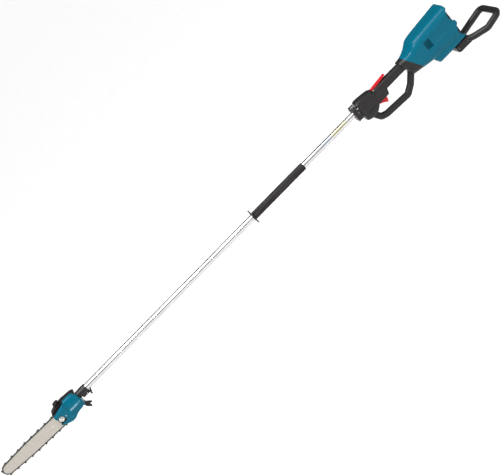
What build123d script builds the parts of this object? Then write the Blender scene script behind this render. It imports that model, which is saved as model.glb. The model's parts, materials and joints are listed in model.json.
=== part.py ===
from build123d import *
import math
import os

# Telescoping pole saw, in millimetres.
# +X runs along the pole from the saw head to the motor, +Z is up, the pole axis is y = z = 0.
# The origin is on the pole axis, midway between the foam grip and the strap clamp.
# The guide bar and the sprocket cover are on the -Y side.

# ---- driving dimensions -------------------------------------------------------------------------
head_x = -1400.0          # rear face of the telescope clamp, where the bare pole starts
grip_end_x = -144.0       # rear end of the foam grip
strap_x = 144.0           # front face of the strap clamp
handle_x = 172.0          # front face of the control housing
nose_x = 410.0            # front edge of the nose cover
rim_x = 692.0             # rear rim of the motor housing

outer_r = 13.0            # outer tube
outer_wall = 1.3
inner_r = 11.4            # inner tube
inner_wall = 1.3
telescope_travel = 1150.0
shaft_r = 6.0             # hollow rear drive shaft
shaft_square = 6.4        # square front drive shaft, across flats
shaft_gap = 0.3
bush_gap = 0.05           # running fit of shafts in bushes and bearings
body_gap = 0.3            # free gap between parts that move past each other
wall = 3.0                # moulded shell thickness

grip_r = 17.0
grip_length = 287.0
flange_r = 33.0
flange_t = 5.0

bar_y = -28.0             # centre plane of the guide bar and chain
bar_t = 4.2
bar_drop = 11.0           # bar centre line below the sprocket axis
bar_tilt = 2.2            # degrees, nose up
bar_reach = 353.0         # sprocket axis to nose centre
nose_half = 20.5          # half width at the nose
rivet_lift = 3.3          # rivet line above the bar's rail
sprocket_wrap_r = 22.0    # rivet line around the drive sprocket
sprocket_dx = -96.0       # sprocket axis, from head_x
chain_pitches = 46
link_height = 5.2
rivet_r = 1.3
rivet_hole_r = 1.6

spindle_x = head_x + sprocket_dx
tube_front_x = head_x - 25.0
tube_rear_x = nose_x + 45.0
inner_rear_x = -88.0
case_rear_x = head_x - 41.5
front_shaft_rear_x = -148.0
rear_shaft_front_x = head_x + 42.0

parts = {}
unit_screws = []          # every screw of the rear unit
head_screws = []          # every screw of the saw head


# ---- small helpers ------------------------------------------------------------------------------
def rod_x(r, x0, x1, y=0.0, z=0.0):
    return Pos((x0 + x1) / 2, y, z) * Rot(0, 90, 0) * Cylinder(r, abs(x1 - x0))


def rod_y(r, y0, y1, x, z):
    return Pos(x, (y0 + y1) / 2, z) * Rot(90, 0, 0) * Cylinder(r, abs(y1 - y0))


def rod_z(r, z0, z1, x, y):
    return Pos(x, y, (z0 + z1) / 2) * Cylinder(r, abs(z1 - z0))


def ring_x(r_out, r_in, x0, x1, y=0.0, z=0.0):
    return rod_x(r_out, x0, x1, y, z) - rod_x(r_in, x0 - 1, x1 + 1, y, z)


def ring_y(r_out, r_in, y0, y1, x, z):
    return rod_y(r_out, y0, y1, x, z) - rod_y(r_in, y0 - 1, y1 + 1, x, z)


def ring_z(r_out, r_in, z0, z1, x, y):
    return rod_z(r_out, z0, z1, x, y) - rod_z(r_in, z0 - 1, z1 + 1, x, y)


def block(x0, x1, y0, y1, z0, z1):
    return Pos((x0 + x1) / 2, (y0 + y1) / 2, (z0 + z1) / 2) * Box(x1 - x0, y1 - y0, z1 - z0)


def outline(points, radius=0.0):
    face = make_face(Polyline(*points, close=True))
    if radius > 0:
        face = fillet(face.vertices(), radius)
    return face


def plate_xz(face, y0, y1):
    """Extrude a face drawn in (x, z) from y0 to y1."""
    plane = Plane(origin=(0, y1, 0), x_dir=(1, 0, 0), z_dir=(0, -1, 0))
    return extrude(plane * face, y1 - y0)


def plate_yz(face, x0, x1):
    """Extrude a face drawn in (y, z) from x0 to x1."""
    plane = Plane(origin=(x0, 0, 0), x_dir=(0, 1, 0), z_dir=(1, 0, 0))
    return extrude(plane * face, x1 - x0)


def plate_xy(face, z0, z1):
    """Extrude a face drawn in (x, y) from z0 to z1."""
    return extrude(Plane.XY.offset(z0) * face, z1 - z0)


def station(x, top, bottom, half_width, radius):
    """Rounded rectangular section square to the pole."""
    plane = Plane(origin=(x, 0, (top + bottom) / 2), x_dir=(0, 1, 0), z_dir=(1, 0, 0))
    return plane * RectangleRounded(2 * half_width, top - bottom, radius)


def shell_loft(stations, inset=0.0):
    faces = [station(x, top - inset, bottom + inset, half - inset, radius - inset)
             for x, top, bottom, half, radius in stations]
    return loft(faces, ruled=True)


def half(solid, side):
    """Keep the -Y (side = -1) or the +Y (side = 1) half."""
    keep = 4000.0
    low, high = (-keep, 0.0) if side < 0 else (0.0, keep)
    return solid & block(-keep, keep, low, high, -keep, keep)


def group(*shapes):
    solids = []
    for shape in shapes:
        solids += shape.solids()
    return Compound(children=solids)


def coil_spring(x, y0, z, coil_r, wire_r, turns, pitch, axis):
    """Coil spring that starts at (x, y0, z) and runs along axis ("Y" or "Z")."""
    helix = Helix(pitch=pitch, height=turns * pitch, radius=coil_r)
    start = helix @ 0
    wire = Plane(origin=start, z_dir=helix % 0) * Circle(wire_r)
    coil = sweep(wire, path=helix)
    turn = Rot(-90, 0, 0) if axis == "Y" else Rot(0, 0, 0)
    return Pos(x, y0, z) * turn * coil


def cap_screw_y(r, head_r, x, z, y_face, y_end):
    """Socket head screw along Y, its head's outer face at y_face and its tip at y_end."""
    sign = 1.0 if y_end > y_face else -1.0
    head_h = 1.1 * r
    socket = rod_y(0.45 * head_r, y_face, y_face + sign * 0.7 * head_h, x, z)
    head = rod_y(head_r, y_face, y_face + sign * head_h, x, z) - socket
    return head + rod_y(r, y_face + sign * head_h, y_end, x, z)


# ---- motor housing, nose and battery bays -------------------------------------------------------
# x, top, bottom, half width, corner radius
housing_stations = [
    (nose_x - 14, 25, -58, 26, 20),
    (nose_x + 22, 27, -60, 32, 24),
    (nose_x + 62, 39, -63, 45, 30),
    (nose_x + 98, 60, -67, 56, 36),
    (nose_x + 140, 65, -71, 60, 36),
    (rim_x, 77, -72, 62, 32),
]
ledge_stations = [
    (nose_x + 122, -30, -70, 40, 16),
    (nose_x + 140, -30, -98, 50, 20),
    (rim_x, -30, -92, 56, 20),
]
seam_top_x = nose_x + 24
seam_bottom_x = nose_x + 76
motor_x = nose_x + 68                # front face of the stator
frame_x = nose_x + 172               # front face of the battery frame
vent_x = nose_x + 142
vent_z = 10.0
housing_screw_spots = [(nose_x + 100, -55), (nose_x + 104, 48), (nose_x + 135, -78), (nose_x + 160, 56)]


def slanted_block(x_top, x_bottom, z_top, z_bottom, x_far):
    """Everything between a slanted plane across the pole and x_far."""
    face = outline([(x_top, z_top), (x_bottom, z_bottom), (x_far, z_bottom), (x_far, z_top)])
    return plate_xz(face, -200, 200)


def nose_and_housing():
    top, bottom = 140.0, -160.0
    seam_slope = (seam_bottom_x - seam_top_x) / (31.0 + 61.0)
    seam_at_top = seam_top_x - seam_slope * (top - 31.0)
    seam_at_bottom = seam_bottom_x + seam_slope * (-61.0 - bottom)
    front_slope = 26.0 / 86.0
    front_at_top = nose_x - front_slope * (top - 26.0)
    front_at_bottom = nose_x + 26.0 + front_slope * (-60.0 - bottom)

    outer = shell_loft(housing_stations) + shell_loft(ledge_stations)
    cavity = shell_loft(housing_stations, wall) + shell_loft(ledge_stations, wall)
    cavity += block(rim_x - 4, rim_x + 20, -58, 58, -80, 70)
    shell = outer - cavity
    behind_seam = slanted_block(seam_at_top, seam_at_bottom, top, bottom, 900)
    behind_front = slanted_block(front_at_top, front_at_bottom, top, bottom, 900)
    front_wall = outer & (behind_front - Pos(4, 0, 0) * behind_front)
    nose = (shell & (behind_front - behind_seam)) + front_wall
    housing = shell & behind_seam
    return nose, housing


def rim_tabs_and_scallops(housing):
    """Three tabs on each side of the rear rim, with a shallow scallop between each two."""
    scallop_r = 43.5
    scallop_depth = 13.0
    for centre_z in (33.0, -46.0):
        cutter = rod_y(scallop_r, -90, 90, rim_x + scallop_r - scallop_depth, centre_z)
        housing -= cutter
    return housing


def vents(housing):
    for i in range(4):
        x = vent_x - 9 + 6 * i
        slot = Pos(x, 0, vent_z) * Rot(90, 0, 0) * extrude(SlotOverall(38, 3.2, rotation=90), 100, both=True)
        housing -= slot
    return housing


def make_housing():
    nose, housing = nose_and_housing()
    solid_shape = shell_loft(housing_stations) + shell_loft(ledge_stations)
    housing = rim_tabs_and_scallops(housing)
    housing = vents(housing)
    for x, z in housing_screw_spots:
        boss = rod_y(5.5, -70, 70, x, z) & solid_shape
        housing = housing + boss - rod_y(2.0, -22, 70, x, z) - rod_y(4.2, 12, 90, x, z)
    grip_hole = grip_core(0.0)
    nose = nose - grip_hole - loop_bar() - rod_x(outer_r, nose_x - 60, tube_rear_x)
    parts["nose_cover"] = nose
    parts["housing_left"] = half(housing, -1)
    parts["housing_right"] = half(housing, 1)
    for x, z in housing_screw_spots:
        unit_screws.append(rod_y(1.9, -20, 12, x, z) + rod_y(4.0, 12, 15.5, x, z) - rod_y(1.8, 13.5, 16, x, z))


bay_half_width = 44.0
upper_bay = (-3.0, 68.0)
lower_bay = (-82.0, -9.0)
bay_floor_x = frame_x + 10


def make_battery_frame():
    stations = [(x, top - 3.4, bottom + 3.4, half_w - 3.4, radius - 3.4)
                for x, top, bottom, half_w, radius in housing_stations]
    ledge = [(x, top - 3.4, bottom + 3.4, half_w - 3.4, radius - 3.4)
             for x, top, bottom, half_w, radius in ledge_stations]
    inside = shell_loft(stations) + shell_loft(ledge)
    body = inside & block(frame_x, rim_x - 10, -bay_half_width - 3, bay_half_width + 3,
                          lower_bay[0] - 3, upper_bay[1] + 3)
    body += inside & block(rim_x - 14, rim_x - 9, -100, 100, -120, 120)
    terminals = []
    for low, high in (upper_bay, lower_bay):
        body -= block(bay_floor_x, rim_x + 20, -bay_half_width, bay_half_width, low, high)
        for side in (-1, 1):
            y0, y1 = sorted((side * bay_half_width, side * (bay_half_width - 4)))
            body += block(bay_floor_x, rim_x - 16, y0, y1, (low + high) / 2 + 14, (low + high) / 2 + 19)
        mid = (low + high) / 2
        plug = block(bay_floor_x, bay_floor_x + 22, -19, 19, mid - 8, mid + 8)
        for y in (-12, 0, 12):
            plug -= block(bay_floor_x + 6, bay_floor_x + 30, y - 1.5, y + 1.5, mid - 6, mid + 6)
        terminals.append(plug)
    parts["battery_frame"] = body
    parts["battery_terminals"] = group(*terminals)


def make_motor():
    shaft_end = motor_x + 92
    parts["motor_mount"] = (ring_x(31.0, 11.0, motor_x - 14, motor_x - 4)
                            + ring_x(19.0, outer_r, tube_rear_x - 24, motor_x - 14)
                            - rod_x(9.0, motor_x - 40, motor_x))
    stator = ring_x(31.0, 24.6, motor_x, motor_x + 44)
    for i in range(12):
        slot = Rot(30 * i, 0, 0) * block(motor_x - 1, motor_x + 45, -1.2, 1.2, 24, 28)
        stator -= slot
    parts["motor_stator"] = stator
    rotor = rod_x(24.0, motor_x + 2, motor_x + 42)
    for i in range(8):
        rotor -= Rot(45 * i, 0, 0) * block(motor_x, motor_x + 46, -3, 3, 18, 20.5)
    rotor += rod_x(5.0, motor_x - 20, shaft_end)
    parts["motor_rotor"] = rotor
    fan = ring_x(12.0, 5.0, motor_x + 62, motor_x + 76) + ring_x(34.0, 10.0, motor_x + 62, motor_x + 64)
    for i in range(9):
        fan += Rot(40 * i, 0, 0) * block(motor_x + 62, motor_x + 75, -0.9, 0.9, 11, 33)
    parts["cooling_fan"] = fan
    parts["motor_bearings"] = group(
        ring_x(11.0, 5.0 + bush_gap, motor_x - 12, motor_x - 4),
        ring_x(11.0, 5.0 + bush_gap, motor_x + 50, motor_x + 58),
    )
    bell = ring_x(31.0, 11.0, motor_x + 50, motor_x + 58) + ring_x(31.0, 27.0, motor_x + 44, motor_x + 50)
    for i in range(6):
        bell -= Rot(60 * i, 0, 0) * Pos(0, 0, 20) * rod_x(4.5, motor_x + 40, motor_x + 70)
    parts["motor_end_bell"] = bell
    parts["motor_controller"] = block(nose_x + 142, nose_x + 166, -36, 36, -92, -48)


# ---- handle: control housing, grip, trigger block, loop -----------------------------------------
def grip_core(grow):
    return shell_loft([
        (handle_x + 66, 20 + grow, -21 - grow, 19 + grow, 12),
        (nose_x + 14, 19 + grow, -20 - grow, 18 + grow, 12),
    ])


control_stations = [
    (handle_x, 35, -58, 25, 16),
    (handle_x + 10, 38, -63, 28, 18),
    (handle_x + 30, 37, -68, 28, 18),
    (handle_x + 58, 34, -62, 27, 18),
    (handle_x + 78, 31, -46, 25, 16),
    (handle_x + 92, 23, -30, 20, 14),
]
lever_pin_x = handle_x + 94
lever_pin_z = 19.5
trigger_pin_x = handle_x + 77
trigger_pin_z = -38.0
button_x = handle_x + 56
button_y = -9.0
button_top = 36.4
lock_pin_x = head_x - 14.0
lock_pin_z = -18.8
lock_lever_angle = 28.6              # below the pole, pointing to the rear


def loop_bar():
    path = FilletPolyline(
        (handle_x + 34, 0, -56), (handle_x + 54, 0, -94), (handle_x + 80, 0, -103),
        (handle_x + 196, 0, -109), (handle_x + 230, 0, -86), (handle_x + 270, 0, -41),
        radius=15,
    )
    start = Plane(origin=path @ 0, x_dir=(0, 1, 0), z_dir=path % 0)
    return sweep(start * RectangleRounded(24, 28, 9), path=path)


def make_handle():
    control = shell_loft(control_stations)
    hollow = shell_loft([(x, t - wall, b + wall, h - wall, r - wall) for x, t, b, h, r in control_stations])
    hollow &= block(handle_x + wall, handle_x + 84, -60, 60, -90, 60)
    trigger_block = plate_xz(outline([
        (handle_x + 64, -12), (handle_x + 64, -41), (handle_x + 136, -41), (handle_x + 146, -12)], 2.5), -15, 15)
    shell = control - hollow
    shell += ring_x(outer_r + 4, outer_r - 1, handle_x, handle_x + 90) + grip_core(0.0) + trigger_block
    tube_hole = rod_x(outer_r, handle_x - 10, nose_x + 60)
    trigger_room = plate_xz(outline([
        (handle_x + 67.5, -14), (handle_x + 67.5, -60), (handle_x + 134, -60), (handle_x + 134, -14)]), -9, 9)
    lever_room = plate_xz(outline([
        (handle_x + 85, 14), (handle_x + 85, 40), (handle_x + 178, 40), (handle_x + 178, 15)]), -7, 7)
    shell = shell - tube_hole - trigger_room - lever_room - loop_bar()
    shell -= rod_y(2.0, -17, 17, lever_pin_x, lever_pin_z)
    shell -= rod_y(2.5, -13, 13, trigger_pin_x, trigger_pin_z)
    shell -= plate_xy(Pos(button_x, button_y) * SlotOverall(13.0, 8.0), 20, 60)
    shell -= plate_xy(Pos(button_x - 14, button_y) * Circle(2.2), 20, 60)
    groove = plate_xz(Pos(handle_x + 44, -30) * SlotOverall(46, 5), -40, -25.5)
    groove += plate_xz(Pos(handle_x + 44, -30) * SlotOverall(46, 5), 25.5, 40)
    shell -= groove
    parts["handle_left"] = half(shell, -1)
    parts["handle_right"] = half(shell, 1)
    loop = loop_bar() & shell_loft([(handle_x + 8, 60, -160, 60, 5), (nose_x + 36, 60, -160, 60, 5)])
    loop -= rod_x(outer_r, handle_x, nose_x + 40)
    loop -= grip_core(0.0)
    parts["hand_guard_loop"] = loop
    spots = [(nose_x - 14, -14.8), (nose_x - 70, -14.8), (nose_x - 14, 14.8)]
    for x, z in spots:
        unit_screws.append(rod_y(1.6, -8, 12, x, z) + rod_y(2.8, 12, 14, x, z))
    for name in ("handle_left", "handle_right"):
        for x, z in spots:
            parts[name] = parts[name] - rod_y(1.6, -8, 12, x, z) - rod_y(2.8, 12, 30, x, z)


def make_controls():
    lever_face = outline([
        (lever_pin_x - 5.5, lever_pin_z - 3), (lever_pin_x - 5.5, lever_pin_z + 3.5),
        (lever_pin_x + 6, lever_pin_z + 7.0), (lever_pin_x + 78, 34.0), (lever_pin_x + 81, 29.0),
        (lever_pin_x + 70, 26.5), (lever_pin_x + 10, lever_pin_z - 2)], 1.8)
    lever = plate_xz(lever_face, -6.5, 6.5) - rod_y(2.05, -10, 10, lever_pin_x, lever_pin_z)
    lever -= block(lever_pin_x + 14, lever_pin_x + 72, -4, 4, 10, 24.6)
    parts["lock_off_lever"] = lever

    trigger_face = make_face(
        Line((trigger_pin_x - 6, trigger_pin_z + 8), (trigger_pin_x + 48, trigger_pin_z + 10))
        + Line((trigger_pin_x + 48, trigger_pin_z + 10), (trigger_pin_x + 46, trigger_pin_z - 8))
        + Line((trigger_pin_x + 46, trigger_pin_z - 8), (trigger_pin_x + 40, trigger_pin_z - 28))
        + Line((trigger_pin_x + 40, trigger_pin_z - 28), (trigger_pin_x + 36, trigger_pin_z - 28))
        + ThreePointArc((trigger_pin_x + 36, trigger_pin_z - 28), (trigger_pin_x + 17, trigger_pin_z - 14.5),
                        (trigger_pin_x - 6, trigger_pin_z - 6))
        + Line((trigger_pin_x - 6, trigger_pin_z - 6), (trigger_pin_x - 6, trigger_pin_z + 8)))
    trigger = plate_xz(trigger_face, -8.0, 8.0) - rod_y(2.55, -10, 10, trigger_pin_x, trigger_pin_z)
    trigger -= block(trigger_pin_x + 8, trigger_pin_x + 60, -6, 6, trigger_pin_z - 4, trigger_pin_z + 20)
    trigger -= rod_y(4.8, -3.2, 3.2, trigger_pin_x, trigger_pin_z)
    parts["trigger"] = trigger
    parts["hinge_pins"] = group(
        rod_y(2.0, -16.5, 16.5, lever_pin_x, lever_pin_z),
        rod_y(2.5, -12.5, 12.5, trigger_pin_x, trigger_pin_z),
        rod_y(2.5, -12, 12, lock_pin_x, lock_pin_z),
    )
    parts["trigger_spring"] = coil_spring(trigger_pin_x, -2.4, trigger_pin_z, 3.5, 0.5, 3.5, 1.35, "Y")
    parts["switch_unit"] = block(trigger_pin_x + 14, trigger_pin_x + 52, -5.5, 5.5, -23, -14.3)
    parts["power_button"] = plate_xy(Pos(button_x, button_y) * SlotOverall(12.0, 7.0), 31, button_top)
    parts["power_button_spring"] = coil_spring(button_x, button_y, 23.5, 2.2, 0.4, 5, 1.4, "Z")
    board = block(button_x - 24, button_x + 12, button_y - 5, button_y + 5, 20, 23)
    lamp = rod_z(2.15, 23, 36.2, button_x - 14, button_y)
    parts["lamp_board"] = group(board, lamp)


# ---- pole ---------------------------------------------------------------------------------------
def make_pole():
    parts["outer_tube"] = ring_x(outer_r, outer_r - outer_wall, tube_front_x, tube_rear_x)
    grip_front_x = grip_end_x - grip_length
    foam = ring_x(grip_r, outer_r, grip_front_x, grip_end_x)
    parts["foam_grip"] = chamfer(foam.edges().filter_by(GeomType.CIRCLE).group_by(Axis.X)[-1][-1], 2.0)
    flange = ring_x(flange_r, outer_r, grip_front_x - flange_t, grip_front_x)
    flange += ring_x(grip_r + 2.5, outer_r, grip_front_x - flange_t - 2, grip_front_x - flange_t)
    parts["grip_flange"] = flange

    body = RectangleRounded(48, 60, 12)
    lobe = Pos(0, 24) * RectangleRounded(15, 26, 6)
    clamp = plate_yz(Pos(0, -5) * body + lobe, strap_x, strap_x + 26)
    clamp -= block(strap_x + 22, strap_x + 30, -30, 30, 8, 50)
    clamp -= rod_x(outer_r, strap_x - 5, strap_x + 40)
    eye_x, eye_z = strap_x + 12, 28.0
    clamp -= rod_y(6.5, -20, 20, eye_x, eye_z)
    clamp -= rod_y(2.5, -30, 30, strap_x + 19, 0) + rod_y(4.6, -30, -19, strap_x + 19, 0)
    clamp -= rod_y(4.6, 19, 30, strap_x + 19, 0)
    parts["strap_clamp"] = clamp
    parts["strap_eye"] = ring_y(6.5, 4.5, -8.0, 8.0, eye_x, eye_z)
    left = cap_screw_y(2.5, 4.5, strap_x + 19, 0, -24.5, -outer_r - 0.1)
    right = cap_screw_y(2.5, 4.5, strap_x + 19, 0, 24.5, outer_r + 0.1)
    unit_screws.extend([left, right])

    square = shaft_square + 2 * shaft_gap
    rear_shaft = rod_x(shaft_r, rear_shaft_front_x, motor_x - 30) + rod_x(8.0, motor_x - 30, motor_x - 15)
    rear_shaft -= rod_x(5.0, motor_x - 20, motor_x)
    rear_shaft -= block(rear_shaft_front_x - 1, front_shaft_rear_x + 20, -square / 2, square / 2,
                        -square / 2, square / 2)
    parts["rear_drive_shaft"] = rear_shaft
    bushes = [ring_x(outer_r - outer_wall, shaft_r + bush_gap, x, x + 12) for x in (-60, 150, 370)]
    parts["shaft_bushes"] = group(*bushes)


def make_telescope_clamp():
    front_x = head_x - 40.5
    collar = rod_x(16.8, front_x, head_x)
    boss = plate_yz(Pos(0, -12) * RectangleRounded(25, 24, 4), head_x - 36, head_x - 4)
    collar = collar + boss
    collar -= rod_x(outer_r, tube_front_x, head_x + 10)
    collar -= rod_x(inner_r + body_gap, front_x - 5, head_x)
    collar -= rod_x(14.2, front_x + 3, tube_front_x)
    pin_x, pin_z = lock_pin_x, lock_pin_z
    collar -= block(head_x - 24, head_x + 5, -7.3, 7.3, -40, -13.6)
    collar -= rod_y(2.5, -20, 20, pin_x, pin_z)
    ribs = [block(head_x - 8 - 7 * i, head_x - 5 - 7 * i, -5, 5, 16, 17.8) for i in range(4)]
    for rib in ribs:
        collar += rib
    parts["clamp_body"] = collar
    sleeve = ring_x(14.1, inner_r + bush_gap, front_x + 3.2, tube_front_x - 0.2)
    sleeve -= block(front_x, tube_front_x, -1.0, 1.0, 0, 20)
    parts["clamp_sleeve"] = sleeve
    # T-ended lever that points down and back
    lever = rod_y(4.6, -7, 7, pin_x, pin_z)
    stem = Pos(8.0, 0, 0) * Box(16.0, 10.0, 7.0)
    cap = Pos(17.0, 0, 0) * fillet(Box(7.0, 13.6, 23.0).edges().filter_by(Axis.Y), 2.8)
    lever += Pos(pin_x, 0, pin_z) * Rot(0, lock_lever_angle, 0) * (stem + cap)
    lever -= rod_y(2.55, -20, 20, pin_x, pin_z)
    parts["lock_lever"] = lever


# ---- rear guard ---------------------------------------------------------------------------------
def make_rear_guard():
    foot_x0, foot_x1 = rim_x - 66, rim_x + 6
    foot_top = -89.0
    foot = plate_xz(outline([
        (foot_x0, foot_top - 8), (foot_x0 + 2, -121), (foot_x0 + 12, -126), (foot_x1, -126),
        (foot_x1 + 8, -116), (foot_x1 + 2, -94)], 3.0), -46, 46)
    foot -= shell_loft(ledge_stations)
    arm = [(rim_x - 14, -26, -109), (rim_x + 26, -48, -116), (rim_x + 82, -76, -119), (rim_x + 156, -73, -103)]
    mirrored = [(x, -y, z) for x, y, z in reversed(arm)]
    path = FilletPolyline(*arm, *mirrored, radius=26)
    start = Plane(origin=path @ 0, z_dir=path % 0)
    bar = sweep(start * Circle(14.0), path=path)
    guard = foot + bar
    spots = [(rim_x - 54, -111), (rim_x - 6, -112)]
    for x, z in spots:
        for side in (-1, 1):
            guard -= rod_y(2.5, side * 20, side * 60, x, z) + rod_y(4.4, side * 41, side * 60, x, z)
            unit_screws.append(rod_y(2.5, side * 22, side * 41, x, z) + rod_y(4.2, side * 41, side * 44, x, z)
                               - rod_y(1.8, side * 42.5, side * 50, x, z))
    parts["rear_guard"] = guard


# ---- saw head -----------------------------------------------------------------------------------
stud_x = head_x - 155.0
stud_z = -7.4
tension_x = head_x - 132.0
tension_z = -8.2
cap_x = head_x - 132.0
cap_y = 5.0
lead_z = -17.5
lead_y = -20.0
pin_hole_x = head_x - 150.0


def make_gear_case():
    case = block(head_x - 125, case_rear_x - 13, -14, 18, -24, 20)
    case = fillet(case.edges().filter_by(Axis.Y), 4.0)
    case += rod_x(17.0, case_rear_x - 20, case_rear_x)
    pad = plate_xz(outline([
        (head_x - 178, -26), (head_x - 178, 10), (head_x - 118, 10), (head_x - 118, -26)], 4.0), -25.7, -13.8)
    link = block(head_x - 178, head_x - 118, -14, -8, -22, 10)
    case = case + pad + link
    case -= rod_x(inner_r, case_rear_x - 22, case_rear_x + 5)
    case -= block(head_x - 118, head_x - 78, -8, 19, -19, 17.6)
    case -= rod_x(11.0, head_x - 79, head_x - 60)
    case -= rod_y(9.5, -16, -8, spindle_x, 0)
    case -= rod_y(6.0, -30, -8, spindle_x, 0)
    case -= rod_y(4.0, -40, 0, stud_x, stud_z)
    case -= rod_y(3.4, -40, -15, tension_x, tension_z)
    case -= block(head_x - 174, head_x - 124, -27, -15.0, -22.5, -12.5)
    case -= rod_y(5.2, -27, -15.0, tension_x, tension_z)
    case -= rod_x(2.4 + bush_gap, head_x - 177, head_x - 121, lead_y, lead_z)
    parts["gear_case"] = case
    cover = plate_xz(outline([
        (head_x - 124, -23), (head_x - 124, 19), (head_x - 56, 19), (head_x - 56, -23)], 4.0), 18, 22)
    cover += ring_y(12.0, 9.5, 13.5, 18, spindle_x, 0)
    parts["gear_case_cover"] = cover
    parts["head_bearings"] = group(
        ring_x(11.0, 3.95 + bush_gap, head_x - 78.8, head_x - 69),
        ring_y(9.5, 4.95 + bush_gap, -14, -8, spindle_x, 0),
        ring_y(9.5, 4.95 + bush_gap, 14, 18, spindle_x, 0),
    )
    spots = [(head_x - 119, -18.5), (head_x - 119, 14.5), (head_x - 61, 14.5), (head_x - 61, -18.5)]
    for x, z in spots:
        hole = rod_y(1.8, 8, 22, x, z)
        parts["gear_case"] = parts["gear_case"] - hole
        parts["gear_case_cover"] = parts["gear_case_cover"] - hole
        head_screws.append(rod_y(1.8, 8, 22, x, z) + rod_y(3.4, 22, 25, x, z) - rod_y(1.6, 23.5, 26, x, z))


crown_teeth = 16
pinion_teeth = 8
crown_r = 12.8
pinion_r = 6.4


def make_gears():
    x0, x1 = spindle_x + crown_r - 4, spindle_x + crown_r + 4
    pinion = ring_x(4.7, 3.95, x0, x1)
    tooth = outline([(4.4, -1.2), (7.45, -0.5), (7.45, 0.5), (4.4, 1.2)])
    for i in range(pinion_teeth):
        pinion += Rot(360 / pinion_teeth * i, 0, 0) * plate_yz(tooth, x0, x1)
    parts["pinion"] = pinion
    crown = ring_y(17.0, 4.95, 8.6, 12.8, spindle_x, 0)
    for i in range(crown_teeth):
        angle = 360 / crown_teeth * (i + 0.5)
        bar = block(11.2, 16.4, 5.3, 8.8, -0.6, 0.6)
        crown += Pos(spindle_x, 0, 0) * Rot(0, angle, 0) * bar
    parts["crown_gear"] = crown
    parts["sprocket_spindle"] = rod_y(4.95, -35, 17.5, spindle_x, 0)
    sprocket = rod_y(8.3, bar_y - 5, bar_y + 5, spindle_x, 0)
    tooth = outline([(7.8, -2.4), (13.0, -0.9), (13.0, 0.9), (7.8, 2.4)])
    for i in range(6):
        sprocket += Pos(spindle_x, 0, 0) * Rot(0, 60 * i, 0) * plate_xz(tooth, bar_y - 3, bar_y + 3)
    parts["drive_sprocket"] = sprocket - rod_y(4.95, -50, 20, spindle_x, 0)
    shaft = rod_x(3.95, x0, head_x - 50)
    side = shaft_square / 2
    shaft += block(head_x - 50, front_shaft_rear_x, -side, side, -side, side)
    parts["front_drive_shaft"] = shaft


def make_inner_tube():
    parts["inner_tube"] = ring_x(inner_r, inner_r - inner_wall, case_rear_x - 20, inner_rear_x)
    diagonal = shaft_square / math.sqrt(2)
    inside = inner_r - inner_wall
    bushes = [ring_x(inside, shaft_r + bush_gap, inner_rear_x - 14, inner_rear_x - 2)]
    bushes += [ring_x(inside, diagonal + bush_gap, x, x + 10) for x in (head_x - 40, head_x + 16)]
    parts["inner_tube_bushes"] = group(*bushes)


def tank_outline(inset):
    points = [(-46, 21.3), (-50, 28), (-61, 32.5), (-108, 37), (-151, 33), (-174, 24), (-181, 12),
              (-181, -20), (-126.5, -20), (-126.5, 21.3)]
    face = outline([(head_x + x, z) for x, z in points], 1.8)
    return offset(face, -inset) if inset else face


def make_oil_system():
    tank = plate_xz(tank_outline(0.0), -13, 24) - plate_xz(tank_outline(2.4), -10.6, 21.6)
    tank += rod_z(12.0, 30, 37.5, cap_x, cap_y) - rod_z(8.0, 20, 60, cap_x, cap_y)
    tank -= rod_z(8.0, 20, 60, cap_x, cap_y)
    tank -= block(head_x - 179, head_x - 117, -14, -7.8, -23, 11)
    parts["oil_tank"] = tank
    cap = rod_z(14.0, 38.4, 48.5, cap_x, cap_y)
    cap = fillet(cap.edges().group_by(Axis.Z)[-1], 2.0)
    for i in range(20):
        angle = math.radians(18 * i)
        cap -= rod_z(1.1, 36, 47, cap_x + 14.4 * math.cos(angle), cap_y + 14.4 * math.sin(angle))
    cap += rod_z(7.6, 31, 38.4, cap_x, cap_y)
    seal = ring_z(11.0, 7.6, 37.8, 38.4, cap_x, cap_y)
    parts["oil_cap"] = group(cap, seal)
    pump = rod_x(6.0, head_x - 158, head_x - 130, 8, -6) + rod_x(2.5, head_x - 168, head_x - 158, 8, -6)
    parts["oil_pump"] = pump + rod_z(2.0, -15, -6, head_x - 150, 8)


def make_branch_hook():
    points = [(-75, -26.8), (-47, -26.8), (-45, -44), (-29, -60), (-30, -65), (-43, -63),
              (-40, -75), (-45, -79), (-59, -62), (-62, -44)]
    fork = plate_xz(outline([(head_x + x, z) for x, z in points], 1.4), -2.5, 2.5)
    flange = block(head_x - 76, head_x - 46, -11, 11, -27, -24)
    spots = [(head_x - 68, -7), (head_x - 68, 7)]
    hook = fork + flange
    for x, y in spots:
        hook -= rod_z(2.0, -30, -20, x, y)
        parts["gear_case"] = parts["gear_case"] - rod_z(2.0, -24, -16, x, y)
        head_screws.append(rod_z(2.0, -27, -16, x, y) + rod_z(3.6, -30, -27, x, y) - rod_z(1.6, -31, -28.5, x, y))
    parts["branch_hook"] = hook


def cover_outline(inset):
    points = [(-172, 23), (-105, 39), (-74, 39), (-57, 36), (-46, 16), (-44, -33), (-62, -36),
              (-88, -39), (-112, -47.5), (-131, -48), (-152, -40), (-172, -27)]
    face = outline([(head_x + x, z) for x, z in points], 4.0)
    return offset(face, -inset) if inset else face


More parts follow.
